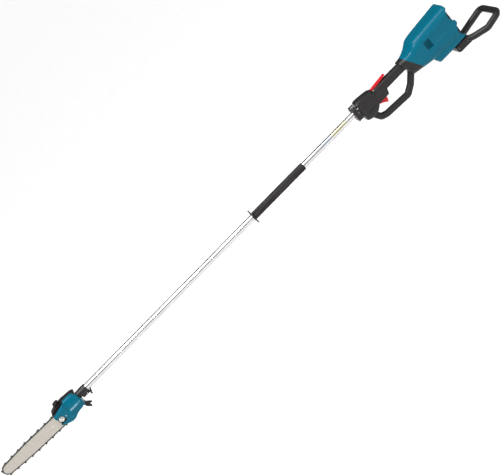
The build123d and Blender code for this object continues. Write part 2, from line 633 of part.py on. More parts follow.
def make_sprocket_cover():
    cover = plate_xz(cover_outline(0.0), -46, -14.4) - plate_xz(cover_outline(2.5), -43.2, -10)
    cover -= block(head_x - 190, head_x - 130, -42.5, -10, -60, 0)
    cover -= block(head_x - 190, head_x - 106, -42.5, -10, 0, 60)
    cover -= rod_x(17.3, head_x - 70, head_x - 30)
    boss = plate_xz(outline([
        (head_x - 171, -24), (head_x - 171, 9), (head_x - 136, 9), (head_x - 136, -24)], 3.0), -46, -30.6)
    cover += boss
    recess = rod_y(16.0, -60, -36.5, stud_x, stud_z) & block(head_x - 175, head_x, -60, 0, -60, 60)
    recess += block(head_x - 200, stud_x, -60, -36.5, stud_z - 15.0, stud_z + 13.5)
    cover -= recess
    panel = outline([
        (head_x - 160, -29), (head_x - 160, 17), (head_x - 112, 17), (head_x - 112, -29)], 7.0)
    cover -= plate_xz(panel, -60, -45.0)
    cover -= rod_y(4.3, -60, 0, stud_x, stud_z)
    cover -= rod_y(3.6, -60, -20, tension_x, tension_z)
    parts["sprocket_cover"] = cover
    stud = rod_y(4.0, -43, -8, stud_x, stud_z)
    nut = rod_y(11.4, -38.5, -36.5, stud_x, stud_z)
    hexagon = Pos(stud_x, stud_z) * RegularPolygon(7.5, 6)
    nut += plate_xz(hexagon, -44.5, -38.5)
    parts["bar_stud_and_nut"] = group(stud, nut - rod_y(4.0, -60, -10, stud_x, stud_z))


def make_tensioner():
    screw = rod_y(2.9, -42, -16, tension_x, tension_z) - block(
        tension_x - 3, tension_x + 3, -43, -40.5, tension_z - 0.5, tension_z + 0.5)
    screw += rod_y(4.6, -25.4, -16, tension_x, tension_z)
    parts["tension_screw"] = screw
    lead = rod_x(2.4, head_x - 176.5, head_x - 121.5, lead_y, lead_z)
    lead += rod_x(4.2, head_x - 136.4, head_x - 127.6, lead_y, lead_z)
    parts["lead_screw"] = lead
    nut_block = block(pin_hole_x - 4, pin_hole_x + 4, -25.4, -16, -21.5, -13.5)
    nut_block -= rod_x(2.4 + bush_gap, pin_hole_x - 10, pin_hole_x + 10, lead_y, lead_z)
    nut_block += rod_y(2.4, bar_y - bar_t / 2, -25.4, pin_hole_x, lead_z)
    parts["tension_block"] = nut_block


# ---- guide bar and chain ------------------------------------------------------------------------
# These are drawn in a bar frame: its origin is on the bar's centre line beside the sprocket axis,
# its x axis points along the bar towards the nose, and its y axis points up.
def tangent_points(c1, r1, c2, r2, side):
    """Ends of the straight that touches two circles on one side (+1 left of travel, -1 right)."""
    dx, dy = c2[0] - c1[0], c2[1] - c1[1]
    distance = math.hypot(dx, dy)
    base = math.atan2(dy, dx)
    angle = base + side * math.acos((r1 - r2) / distance)
    normal = (math.cos(angle), math.sin(angle))
    first = (c1[0] + r1 * normal[0], c1[1] + r1 * normal[1])
    second = (c2[0] + r2 * normal[0], c2[1] + r2 * normal[1])
    return first, second


# x and half width of the bar's widest place, of the start of its taper, and of the nose
bar_circles = [(62.0, 28.0), (238.0, 27.2), (bar_reach, nose_half)]


def edge_run(circles, side):
    """Straights and arcs that wrap a row of (x, y, radius) circles on one side, in the order of the row."""
    spans = []
    for (x1, y1, r1), (x2, y2, r2) in zip(circles, circles[1:]):
        spans.append(tangent_points((x1, y1), r1, (x2, y2), r2, side))
    edges = []
    for i, (first, second) in enumerate(spans):
        edges.append(Line(first, second))
        if i + 1 < len(spans):
            x, y, r = circles[i + 1]
            edges.append(ThreePointArc(second, arc_middle((x, y), r, second, spans[i + 1][0]), spans[i + 1][0]))
    return edges, spans[0][0], spans[-1][1]


def belt_path():
    """The rivet line: round the sprocket, along the bar's edge and round the nose."""
    circles = [(0.0, bar_drop, sprocket_wrap_r)] + [(x, 0.0, half + rivet_lift) for x, half in bar_circles]
    top, top_start, top_end = edge_run(circles, 1)
    low, low_start, low_end = edge_run(circles, -1)
    tip = ThreePointArc(top_end, (bar_reach + nose_half + rivet_lift, 0), low_end)
    wrap = ThreePointArc(low_start, (-sprocket_wrap_r, bar_drop), top_start)
    backwards = [edge.reversed() for edge in reversed(low)]
    return Wire(top + [tip] + backwards + [wrap])


def arc_middle(centre, radius, first, second):
    mx, my = (first[0] + second[0]) / 2 - centre[0], (first[1] + second[1]) / 2 - centre[1]
    length = math.hypot(mx, my)
    return (centre[0] + radius * mx / length, centre[1] + radius * my / length)


def bar_face(rail_inset):
    """Side view of the guide bar, or of its core when rail_inset is more than 0."""
    circles = [(x, 0.0, half - rail_inset) for x, half in bar_circles]
    tail_x = 24.0 + rail_inset
    tail_half = 14.0 - rail_inset / 2
    widest = bar_circles[0][1] - rail_inset
    shoulder = (bar_circles[0][0] - 8.0, widest - 0.4)
    top, top_start, top_end = edge_run(circles, 1)
    low, low_start, low_end = edge_run(circles, -1)
    edges = [Line((tail_x, tail_half), shoulder), Line(shoulder, top_start)]
    edges += top
    edges.append(ThreePointArc(top_end, (bar_reach + nose_half - rail_inset, 0), low_end))
    edges += low
    edges += [Line(low_start, (shoulder[0], -shoulder[1])), Line((shoulder[0], -shoulder[1]), (tail_x, -tail_half)),
              Line((tail_x, -tail_half), (tail_x, tail_half))]
    return make_face(Wire(edges))


bar_plane = Plane(
    origin=(spindle_x, bar_y, -bar_drop),
    x_dir=(-math.cos(math.radians(bar_tilt)), 0, math.sin(math.radians(bar_tilt))),
    z_dir=(0, 1, 0),
)


def bar_slab(face, low, high):
    """Extrude a bar-frame face between two heights measured from the bar's centre plane, along +Y."""
    return extrude(bar_plane.offset(low) * face, high - low)


def to_bar_frame(x, z):
    local = bar_plane.to_local_coords(Vector(x, bar_y, z))
    return local.X, local.Y


def make_guide_bar():
    full = bar_face(0.0)
    core = bar_face(6.5)
    bar = bar_slab(full, -bar_t / 2, bar_t / 2)
    bar -= bar_slab(full, -0.75, 0.75) - bar_slab(core, -0.75, 0.75)
    slot_front = to_bar_frame(head_x - 170, stud_z)
    slot_rear = to_bar_frame(head_x - 125, tension_z)
    slot_mid = ((slot_front[0] + slot_rear[0]) / 2, (slot_front[1] + slot_rear[1]) / 2)
    slot = Pos(*slot_mid) * SlotOverall(slot_front[0] - slot_rear[0], 9.4)
    bar -= bar_slab(slot, -5, 5)
    bar -= rod_y(2.4, -40, -20, pin_hole_x, lead_z)
    oil_hole = Pos(108.0, -2.0) * Circle(3.2)
    small_hole = Pos(124.0, -3.0) * Circle(2.2)
    bar -= bar_slab(oil_hole, -5, 5) + bar_slab(small_hole, -5, 5)
    room = Pos(bar_reach, 0) * Circle(18.2)
    bar -= bar_slab(room, -0.9, 0.9)
    bar -= bar_slab(Pos(bar_reach, 0) * Circle(3.0), -5, 5)
    rivet = bar_slab(Pos(bar_reach, 0) * Circle(3.0), -bar_t / 2 - 0.3, bar_t / 2 + 0.3)
    parts["guide_bar"] = group(bar, rivet)
    star = Circle(14.5)
    for i in range(9):
        tooth = outline([(14.0, -1.8), (16.8, -0.7), (16.8, 0.7), (14.0, 1.8)])
        star += Rot(0, 0, 40 * i) * tooth
    star = Pos(bar_reach, 0) * (star - Circle(3.1))
    parts["nose_sprocket"] = bar_slab(star, -0.6, 0.6)


def rivet_holes(span):
    return Pos(-span / 2, 0) * Circle(rivet_hole_r) + Pos(span / 2, 0) * Circle(rivet_hole_r)


def chain_link(span):
    """Rounded plate between two rivets."""
    return SlotOverall(span + link_height, link_height) - rivet_holes(span)


def cutter_side(span):
    face = outline([
        (-span / 2 - 3.0, -2.6), (-span / 2 - 3.2, 5.2), (-span / 2 + 4.6, 6.4), (-span / 2 + 5.0, 1.6),
        (span / 2 - 2.0, 1.6), (span / 2 - 1.2, 5.4), (span / 2 + 1.8, 5.2), (span / 2 + 3.0, -2.6)], 0.5)
    return face - rivet_holes(span)


def cutter_top(span):
    return outline([(-span / 2 - 3.2, 5.0), (-span / 2 + 4.6, 6.2), (-span / 2 + 4.4, 7.3), (-span / 2 - 3.2, 6.0)])


def make_chain():
    path = belt_path()
    count = 2 * chain_pitches
    points = [path @ (i / count) for i in range(count)]
    drive, straps, cutters, rivets = [], [], [], []
    tang = outline([(-3.2, -2.0), (-1.2, -6.4), (1.2, -6.4), (3.2, -2.0)])
    for i, first in enumerate(points):
        second = points[(i + 1) % count]
        middle = (first + second) * 0.5
        # travel runs over the top towards the nose, so a link's outer side is on its left
        heading = math.degrees(math.atan2(second.Y - first.Y, second.X - first.X))
        place = Pos(middle.X, middle.Y) * Rot(0, 0, heading)
        between = (second - first).length
        rivets.append(bar_slab(Pos(first.X, first.Y) * Circle(rivet_r), -2.1, 2.1))
        if i % 2 == 0:
            drive.append(bar_slab(place * (chain_link(between) + tang), -0.55, 0.55))
            continue
        side = 1 if i % 8 == 1 else -1 if i % 8 == 5 else 0
        for layer in (-1, 1):
            low, high = sorted((layer * 0.65, layer * 1.95))
            if layer == side:
                plate = bar_slab(place * cutter_side(between), low, high)
                edge_low, edge_high = sorted((layer * 1.95, -layer * 1.2))
                edge_low, edge_high = (edge_low - 0.9, edge_high) if layer < 0 else (edge_low, edge_high + 0.9)
                plate += bar_slab(place * cutter_top(between), edge_low, edge_high)
                cutters.append(plate)
            else:
                straps.append(bar_slab(place * chain_link(between), low, high))
    parts["chain_drive_links"] = group(*drive)
    parts["chain_straps_and_rivets"] = group(*straps, *rivets)
    parts["chain_cutters"] = group(*cutters)


make_housing()
make_battery_frame()
make_motor()
make_handle()
make_controls()
make_pole()
make_telescope_clamp()
make_rear_guard()
make_gear_case()
make_gears()
make_inner_tube()
make_oil_system()
make_branch_hook()
make_sprocket_cover()
make_tensioner()
make_guide_bar()
make_chain()
parts["unit_screws"] = group(*unit_screws)
parts["head_screws"] = group(*head_screws)

os.makedirs("parts", exist_ok=True)
for name, shape in parts.items():
    export_step(shape, os.path.join("parts", name + ".step"))
    print(f"{name}: {len(shape.solids())} solids, {shape.volume / 1000:.1f} cm3")
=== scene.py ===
import json
import math

import bmesh
import bpy
import numpy as np
from mathutils import Matrix, Vector


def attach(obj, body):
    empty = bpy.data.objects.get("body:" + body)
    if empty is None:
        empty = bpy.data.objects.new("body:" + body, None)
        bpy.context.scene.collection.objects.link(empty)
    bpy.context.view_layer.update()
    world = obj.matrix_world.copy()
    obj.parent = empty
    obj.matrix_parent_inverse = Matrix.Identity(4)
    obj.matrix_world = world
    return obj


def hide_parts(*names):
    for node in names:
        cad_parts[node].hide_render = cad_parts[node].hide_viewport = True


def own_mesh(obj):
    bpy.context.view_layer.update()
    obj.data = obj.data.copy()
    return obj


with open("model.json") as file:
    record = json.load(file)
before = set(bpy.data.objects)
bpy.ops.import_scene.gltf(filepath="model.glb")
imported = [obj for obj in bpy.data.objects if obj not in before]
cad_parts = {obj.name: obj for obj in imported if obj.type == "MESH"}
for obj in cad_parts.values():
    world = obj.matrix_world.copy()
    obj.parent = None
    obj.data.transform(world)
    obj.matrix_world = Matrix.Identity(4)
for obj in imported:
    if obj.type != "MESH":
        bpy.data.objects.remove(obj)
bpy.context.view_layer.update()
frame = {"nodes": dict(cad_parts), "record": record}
MM = 0.001

# ---- stations along the tool, in millimetres, as in the CAD -------------------------------------
HEAD_X = -1400.0
GRIP_END_X = -144.0
GRIP_FRONT_X = -431.0
HANDLE_X = 172.0
NOSE_X = 410.0
RIM_X = 692.0
OUTER_R = 13.0


# =================================================================================================
# materials
# =================================================================================================
class Nodes:
    """Builds the node tree of one material."""

    def __init__(self, name):
        self.material = bpy.data.materials.new(name)
        self.material.use_nodes = True
        self.tree = self.material.node_tree
        self.tree.nodes.clear()
        self.output = self.add("ShaderNodeOutputMaterial")
        self.shader = self.add("ShaderNodeBsdfPrincipled")
        self.link(self.shader.outputs[0], self.output.inputs["Surface"])
        self.coords = self.add("ShaderNodeTexCoord").outputs["Object"]

    def add(self, kind, **settings):
        node = self.tree.nodes.new(kind)
        for key, value in settings.items():
            setattr(node, key, value)
        return node

    def link(self, source, target):
        self.tree.links.new(source, target)

    def stretched(self, scale):
        mapping = self.add("ShaderNodeMapping")
        mapping.inputs["Scale"].default_value = scale
        self.link(self.coords, mapping.inputs["Vector"])
        return mapping.outputs["Vector"]

    def noise(self, scale, detail=3.0, roughness=0.55, vector=None):
        node = self.add("ShaderNodeTexNoise")
        node.inputs["Scale"].default_value = scale
        node.inputs["Detail"].default_value = detail
        node.inputs["Roughness"].default_value = roughness
        self.link(vector or self.coords, node.inputs["Vector"])
        return node.outputs["Fac"]

    def ramp(self, value, stops):
        node = self.add("ShaderNodeValToRGB")
        while len(node.color_ramp.elements) < len(stops):
            node.color_ramp.elements.new(0.5)
        for element, (place, color) in zip(node.color_ramp.elements, stops):
            element.position = place
            element.color = (*color, 1.0) if len(color) == 3 else color
        self.link(value, node.inputs["Fac"])
        return node.outputs["Color"]

    def remap(self, value, low, high):
        node = self.add("ShaderNodeMapRange")
        node.inputs["To Min"].default_value = low
        node.inputs["To Max"].default_value = high
        self.link(value, node.inputs["Value"])
        return node.outputs["Result"]

    def smooth(self, value, start, end):
        """0 before start, 1 past end; end may lie before start."""
        node = self.add("ShaderNodeMapRange")
        node.inputs["From Min"].default_value = start
        node.inputs["From Max"].default_value = end
        self.link(value, node.inputs["Value"])
        return node.outputs["Result"]

    def math(self, operation, a, b=None):
        node = self.add("ShaderNodeMath", operation=operation)
        for socket, value in zip(node.inputs, (a, b)):
            if value is None:
                continue
            if isinstance(value, (int, float)):
                socket.default_value = value
            else:
                self.link(value, socket)
        return node.outputs[0]

    def mix(self, factor, a, b):
        node = self.add("ShaderNodeMix", data_type="RGBA")
        for socket, value in ((node.inputs[0], factor), (node.inputs[6], a), (node.inputs[7], b)):
            if isinstance(value, (int, float)):
                socket.default_value = value
            elif isinstance(value, tuple):
                socket.default_value = (*value, 1.0)
            else:
                self.link(value, socket)
        return node.outputs[2]

    def bump(self, height, strength, distance):
        node = self.add("ShaderNodeBump")
        node.inputs["Strength"].default_value = strength
        node.inputs["Distance"].default_value = distance
        self.link(height, node.inputs["Height"])
        previous = self.shader.inputs["Normal"]
        if previous.is_linked:
            self.link(previous.links[0].from_socket, node.inputs["Normal"])
        self.link(node.outputs[0], previous)

    def edge(self, radius):
        """1 on edges that a hand or a branch would rub, 0 elsewhere."""
        bevel = self.add("ShaderNodeBevel", samples=4)
        bevel.inputs["Radius"].default_value = radius
        geometry = self.add("ShaderNodeNewGeometry")
        dot = self.add("ShaderNodeVectorMath", operation="DOT_PRODUCT")
        self.link(bevel.outputs[0], dot.inputs[0])
        self.link(geometry.outputs["Normal"], dot.inputs[1])
        return self.math("SUBTRACT", 1.0, dot.outputs["Value"])

    def rounded(self, radius):
        bevel = self.add("ShaderNodeBevel", samples=4)
        bevel.inputs["Radius"].default_value = radius
        self.link(bevel.outputs[0], self.shader.inputs["Normal"])


# radius that softens the look of sharp edges, in metres
PLASTIC_EDGE = 0.0006
METAL_EDGE = 0.0004


def scaled(color, factor):
    return tuple(min(1.0, c * factor) for c in color)


def moulded(name, color, roughness, grain=0.0, specular=0.3, spread=0.10):
    """Moulded plastic: a faint mottle in colour, uneven gloss, and a fine moulded grain."""
    nodes = Nodes(name)
    nodes.rounded(PLASTIC_EDGE)
    cloud = nodes.noise(38.0, 4.0, 0.6)
    mottle = [(0.3, scaled(color, 1.0 - spread)), (0.7, scaled(color, 1.0 + spread))]
    nodes.link(nodes.ramp(cloud, mottle), nodes.shader.inputs["Base Color"])
    scuff = nodes.noise(210.0, 5.0, 0.7)
    gloss = nodes.remap(scuff, max(0.02, roughness - 0.08), min(1.0, roughness + 0.08))
    nodes.link(gloss, nodes.shader.inputs["Roughness"])
    if grain:
        nodes.bump(nodes.noise(900.0, 2.0, 0.6), grain, 0.0004)
    nodes.shader.inputs["Specular IOR Level"].default_value = specular
    return nodes.material


def metal(name, color, roughness, scale=600.0, depth=0.15, wear=None):
    """Metal with fine uneven gloss and duller patches, and where wear is given, rubbed edges."""
    nodes = Nodes(name)
    nodes.shader.inputs["Metallic"].default_value = 1.0
    nodes.rounded(METAL_EDGE)
    grain = nodes.noise(scale, 3.0, 0.6)
    patches = nodes.noise(30.0, 3.0, 0.6)
    base = nodes.ramp(patches, [(0.3, scaled(color, 0.88)), (0.7, scaled(color, 1.06))])
    if wear:
        base = nodes.mix(nodes.remap(nodes.edge(0.0009), 0.0, 3.0), base, wear)
    nodes.link(base, nodes.shader.inputs["Base Color"])
    nodes.link(nodes.remap(grain, roughness * 0.75, roughness * 1.3), nodes.shader.inputs["Roughness"])
    nodes.bump(grain, depth, 0.0002)
    return nodes.material


TEAL = (0.0008, 0.1120, 0.1760)
BLACK = (0.0185, 0.0165, 0.0168)
RED = (0.600, 0.009, 0.016)

# start and end along the pole in metres, and tint
PRINTED_STRIPS = [(-0.043, 0.014, (0.52, 0.58, 0.70)), (0.022, 0.103, (0.72, 0.70, 0.38))]
STRIP_FADE = 0.002


def pole_material():
    """Bright drawn tube with fine lengthwise lines and two blank tinted strips on top, near the grip."""
    nodes = Nodes("pole")
    nodes.shader.inputs["Metallic"].default_value = 1.0
    nodes.shader.inputs["Specular Tint"].default_value = (0.0, 0.0, 0.0, 1.0)
    lines = nodes.noise(900.0, 3.0, 0.6, nodes.stretched((0.004, 1.0, 1.0)))
    soft = nodes.noise(16.0, 2.0, 0.5)
    tube = nodes.ramp(soft, [(0.3, (0.62, 0.61, 0.60)), (0.7, (0.70, 0.69, 0.68))])
    place = nodes.add("ShaderNodeSeparateXYZ")
    nodes.link(nodes.coords, place.inputs[0])
    upper = nodes.smooth(place.outputs["Z"], 0.0005, 0.0025)
    for start, end, tint in PRINTED_STRIPS:
        begun = nodes.smooth(place.outputs["X"], start, start + STRIP_FADE)
        not_over = nodes.smooth(place.outputs["X"], end, end - STRIP_FADE)
        length = nodes.math("MULTIPLY", begun, not_over)
        tube = nodes.mix(nodes.math("MULTIPLY", length, upper), tube, tint)
    nodes.link(tube, nodes.shader.inputs["Base Color"])
    nodes.link(nodes.remap(lines, 0.10, 0.24), nodes.shader.inputs["Roughness"])
    nodes.bump(lines, 0.10, 0.0001)
    return nodes.material


def foam_material():
    """Dull black foam with fine cells and lengthwise streaks."""
    nodes = Nodes("foam")
    cells = nodes.add("ShaderNodeTexVoronoi")
    cells.inputs["Scale"].default_value = 900.0
    nodes.link(nodes.coords, cells.inputs["Vector"])
    streak = nodes.noise(260.0, 3.0, 0.6, nodes.stretched((0.03, 1.0, 1.0)))
    shades = [(0.34, (0.011, 0.0095, 0.010)), (0.66, (0.046, 0.041, 0.043))]
    nodes.link(nodes.ramp(streak, shades), nodes.shader.inputs["Base Color"])
    nodes.shader.inputs["Roughness"].default_value = 0.92
    nodes.shader.inputs["Specular IOR Level"].default_value = 0.2
    nodes.bump(cells.outputs["Distance"], 0.5, 0.0004)
    nodes.bump(streak, 0.5, 0.0006)
    return nodes.material


def bar_material():
    """Lacquered guide bar: warm light grey with a fine mottle, bare steel at the edges."""
    nodes = Nodes("bar")
    nodes.rounded(0.0004)
    speckle = nodes.noise(420.0, 5.0, 0.75)
    shades = [(0.30, (0.38, 0.35, 0.31)), (0.50, (0.47, 0.44, 0.39)), (0.72, (0.55, 0.52, 0.47))]
    base = nodes.ramp(speckle, shades)
    base = nodes.mix(nodes.remap(nodes.edge(0.0010), 0.0, 2.2), base, (0.35, 0.34, 0.33))
    nodes.link(base, nodes.shader.inputs["Base Color"])
    nodes.shader.inputs["Metallic"].default_value = 0.35
    nodes.link(nodes.remap(nodes.noise(160.0, 4.0, 0.6), 0.34, 0.52), nodes.shader.inputs["Roughness"])
    nodes.bump(nodes.noise(1100.0, 2.0, 0.6), 0.12, 0.0002)
    return nodes.material


def copper_material():
    """Lacquered copper windings."""
    nodes = Nodes("windings")
    nodes.shader.inputs["Metallic"].default_value = 1.0
    turns = nodes.noise(1400.0, 2.0, 0.5, nodes.stretched((1.0, 0.1, 0.1)))
    shades = [(0.35, (0.30, 0.12, 0.05)), (0.65, (0.62, 0.30, 0.14))]
    nodes.link(nodes.ramp(turns, shades), nodes.shader.inputs["Base Color"])
    nodes.link(nodes.remap(turns, 0.25, 0.5), nodes.shader.inputs["Roughness"])
    nodes.bump(turns, 0.4, 0.0004)
    return nodes.material


def board_material():
    """Green circuit board with slightly lighter tracks."""
    nodes = Nodes("board")
    tracks = nodes.noise(260.0, 1.0, 0.3, nodes.stretched((1.0, 0.2, 1.0)))
    shades = [(0.47, (0.010, 0.075, 0.030)), (0.53, (0.030, 0.150, 0.060))]
    nodes.link(nodes.ramp(tracks, shades), nodes.shader.inputs["Base Color"])
    nodes.link(nodes.remap(tracks, 0.25, 0.45), nodes.shader.inputs["Roughness"])
    nodes.bump(tracks, 0.2, 0.0002)
    return nodes.material


MATERIALS = {
    "housing_plastic": moulded("teal", TEAL, 0.21, grain=0.02, specular=0.12, spread=0.04),
    "black_plastic": moulded("black", BLACK, 0.36, grain=0.16, specular=0.24, spread=0.12),
    "red_plastic": moulded("red", RED, 0.32, grain=0.05, specular=0.3, spread=0.05),
    "foam": foam_material(),
    "pole_metal": pole_material(),
    "bar_steel": bar_material(),
    "chain_steel": metal("chain", (0.075, 0.066, 0.060), 0.40, wear=(0.24, 0.22, 0.20)),
    "bright_steel": metal("bright", (0.72, 0.71, 0.69), 0.24),
    "dark_steel": metal("dark_steel", (0.10, 0.10, 0.10), 0.38, wear=(0.32, 0.32, 0.32)),
    "cast_alloy": metal("alloy", (0.58, 0.58, 0.59), 0.46, depth=0.35, scale=300.0),
    "copper_core": copper_material(),
    "circuit": board_material(),
    "bearing_steel": metal("bearing", (0.75, 0.75, 0.74), 0.15),
    "bush_plastic": moulded("bush", (0.36, 0.34, 0.29), 0.5),
}


def dress(obj, material):
    obj.data.materials.clear()
    obj.data.materials.append(material)


slot_of_node = {s["node"]: s["material_slot"] for s in frame["record"]["subparts"]}
for node_name, node in frame["nodes"].items():
    dress(node, MATERIALS[slot_of_node[node_name]])


# =================================================================================================
# mesh tools
# =================================================================================================
def make_object(name, points, faces, material, body, smooth_angle=40.0):
    """A mesh from millimetre points. It rides on a body and takes its finish from a slot."""
    mesh = bpy.data.meshes.new(name)
    corners = [tuple(p) for p in np.asarray(points, float) * MM]
    mesh.from_pydata(corners, [], [tuple(f) for f in faces])
    bm = bmesh.new()
    bm.from_mesh(mesh)
    bmesh.ops.remove_doubles(bm, verts=bm.verts, dist=1e-6)
    bmesh.ops.recalc_face_normals(bm, faces=bm.faces)
    bm.to_mesh(mesh)
    bm.free()
    mesh.polygons.foreach_set("use_smooth", [True] * len(mesh.polygons))
    mesh.set_sharp_from_angle(angle=math.radians(smooth_angle))
    obj = bpy.data.objects.new(name, mesh)
    bpy.context.scene.collection.objects.link(obj)
    dress(obj, material)
    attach(obj, body)
    return obj


def grid_faces(rows, columns, offset=0, wrap=True):
    """Quads of a grid of points, row by row, closed round the columns when wrap is set."""
    faces = []
    for i in range(rows - 1):
        for j in range(columns if wrap else columns - 1):
            k = (j + 1) % columns
            faces.append((offset + i * columns + j, offset + i * columns + k,
                          offset + (i + 1) * columns + k, offset + (i + 1) * columns + j))
    return faces


def smoothstep(low, high, value):
    t = np.clip((value - low) / (high - low), 0.0, 1.0)
    return t * t * (3.0 - 2.0 * t)


def curve_through(stations, x):
    """Smooth, non-overshooting curve through (x, a, b, ...) stations, sampled at x."""
    table = np.array(stations, float)
    xs, values = table[:, 0], table[:, 1:]
    slopes = np.diff(values, axis=0) / np.diff(xs)[:, None]
    tangents = np.zeros_like(values)
    tangents[0], tangents[-1] = slopes[0], slopes[-1]
    before, after = slopes[:-1], slopes[1:]
    product = before * after
    total = np.where(before + after == 0, 1.0, before + after)
    tangents[1:-1] = np.where(product > 0, 2.0 * product / total, 0.0)
    x = np.clip(np.asarray(x, float), xs[0], xs[-1])
    i = np.clip(np.searchsorted(xs, x) - 1, 0, len(xs) - 2)
    h = (xs[i + 1] - xs[i])[..., None]
    t = ((x - xs[i]) / (xs[i + 1] - xs[i]))[..., None]
    return ((2 * t ** 3 - 3 * t ** 2 + 1) * values[i] + (t ** 3 - 2 * t ** 2 + t) * h * tangents[i]
            + (-2 * t ** 3 + 3 * t ** 2) * values[i + 1] + (t ** 3 - t ** 2) * h * tangents[i + 1])


def box_distance(y, z, top, bottom, half, radius):
    """Distance to a rounded rectangle in the plane across the pole, negative inside."""
    centre, height = (top + bottom) / 2.0, (top - bottom) / 2.0
    radius = np.minimum(radius, np.minimum(half, height) - 0.5)
    dy = np.abs(y) - (half - radius)
    dz = np.abs(z - centre) - (height - radius)
    outside = np.hypot(np.maximum(dy, 0.0), np.maximum(dz, 0.0))
    return outside + np.minimum(np.maximum(dy, dz), 0.0) - radius


def smooth_union(a, b, blend):
    """Distance to both shapes together, with a fillet about blend wide between them."""
    h = np.clip(0.5 + 0.5 * (b - a) / blend, 0.0, 1.0)
    return b + (a - b) * h - blend * h * (1.0 - h)


def ray_radius(distance, x, angle, centre_z, far=160.0):
    """How far a ray from (0, centre_z) travels before it leaves the section at x."""
    low, high = np.zeros_like(x), np.full_like(x, far)
    for _ in range(26):
        middle = (low + high) / 2.0
        inside = distance(x, middle * np.sin(angle), centre_z + middle * np.cos(angle)) < 0
        low, high = np.where(inside, middle, low), np.where(inside, high, middle)
    return (low + high) / 2.0


def even_angles(distance, x, centre_z, start, end, count):
    """Ray angles whose hits lie evenly along the outline of the section at x."""
    fine = np.linspace(start, end, 1600)
    r = ray_radius(distance, np.full_like(fine, x), fine, centre_z)
    y, z = r * np.sin(fine), r * np.cos(fine)
    length = np.concatenate([[0.0], np.cumsum(np.hypot(np.diff(y), np.diff(z)))])
    return np.interp(np.linspace(0.0, length[-1], count), length, fine)


def skin(distance, angles, centre_z, x_front, x_rear, shares, feature=None, inset=0.0):
    """Grid of points on a section-wise surface, from the curve x_front(z) to the curve x_rear(z)."""
    front = np.full_like(angles, x_front(centre_z))
    rear = np.full_like(angles, x_rear(centre_z))
    for _ in range(6):
        front_reach = ray_radius(distance, front, angles, centre_z) - inset
        rear_reach = ray_radius(distance, rear, angles, centre_z) - inset
        front = x_front(centre_z + front_reach * np.cos(angles))
        rear = x_rear(centre_z + rear_reach * np.cos(angles))
    x = front[None, :] + (rear - front)[None, :] * np.asarray(shares)[:, None]
    theta = np.broadcast_to(angles, x.shape)
    r = ray_radius(distance, x, theta, centre_z) - inset
    y, z = r * np.sin(theta), centre_z + r * np.cos(theta)
    if feature is not None:
        r = r - feature(x, y, z)
        y, z = r * np.sin(theta), centre_z + r * np.cos(theta)
    return np.stack([x, y, z], axis=-1)


# how far a shell's end edges and parting edges are drawn in, and half the gap between two halves
LIP = 0.5
PARTING_LIP = 0.35
PARTING_GAP = 0.12


def pulled_in(ring, centre, amount):
    """Ring moved towards the point centre of its section by amount."""
    radial = ring[:, 1:] - centre
    length = np.linalg.norm(radial, axis=1, keepdims=True)
    moved = ring.copy()
    moved[:, 1:] = centre + radial * (1.0 - amount / length)
    return moved


def half_shell(name, side, distance, centre_z, x_front, x_rear, wall, feature, rows, columns, mid_x,
               material, body):
    """One moulded half of a hollow housing, open at both ends, with a fine parting line."""
    centre = np.array([0.0, centre_z])
    angles = even_angles(distance, mid_x, centre_z, 0.0, math.pi, columns) * side
    outer_shares = np.linspace(0.0, 1.0, rows)
    inner_shares = np.linspace(1.0, 0.0, max(8, rows // 4))
    outer = skin(distance, angles, centre_z, x_front, x_rear, outer_shares, feature)
    inner = skin(distance, angles, centre_z, x_front, x_rear, inner_shares, None, wall)
    for row in (0, -1):
        outer[row] = pulled_in(outer[row], centre, LIP)
    for column in (0, -1):
        outer[:, column] = pulled_in(outer[:, column], centre, PARTING_LIP)
        outer[:, column, 1] = side * PARTING_GAP
        inner[:, column, 1] = side * PARTING_GAP
    grid = np.concatenate([outer, inner, outer[:1]], axis=0)
    total, width = grid.shape[:2]
    faces = grid_faces(total, width, wrap=False)
    # close the two edges along the parting line
    n_out, n_in = len(outer), len(inner)
    for column in (0, width - 1):
        edge = [i * width + column for i in range(n_out)]
        back = [i * width + column for i in range(n_out + n_in - 1, n_out - 1, -1)]
        j = 0
        for i in range(n_out - 1):
            want = round((i + 1) * (n_in - 1) / (n_out - 1))
            if want > j:
                faces.append((edge[i], edge[i + 1], back[want], back[j]))
                j = want
            else:
                faces.append((edge[i], edge[i + 1], back[j]))
    return make_object(name, grid.reshape(-1, 3), faces, material, body)


def cut(obj, cutters):
    """Cuts closed millimetre meshes (points, faces) out of a piece."""
    mesh = bpy.data.meshes.new("cutter")
    points, faces, offset = [], [], 0
    for p, f in cutters:
        points += [tuple(np.asarray(q, float) * MM) for q in p]
        faces += [tuple(i + offset for i in face) for face in f]
        offset += len(p)
    mesh.from_pydata(points, [], faces)
    bm = bmesh.new()
    bm.from_mesh(mesh)
    bmesh.ops.recalc_face_normals(bm, faces=bm.faces)
    bm.to_mesh(mesh)
    bm.free()
    tool = bpy.data.objects.new("cutter", mesh)
    bpy.context.scene.collection.objects.link(tool)
    modifier = obj.modifiers.new("cut", "BOOLEAN")
    modifier.operation = "DIFFERENCE"
    modifier.solver = "EXACT"
    modifier.object = tool
    bpy.context.view_layer.update()
    graph = bpy.context.evaluated_depsgraph_get()
    made = bpy.data.meshes.new_from_object(obj.evaluated_get(graph))
    obj.modifiers.remove(modifier)
    old = obj.data
    obj.data = made
    bpy.data.meshes.remove(old)
    bpy.data.objects.remove(tool)
    obj.data.polygons.foreach_set("use_smooth", [True] * len(obj.data.polygons))
    obj.data.set_sharp_from_angle(angle=math.radians(40.0))


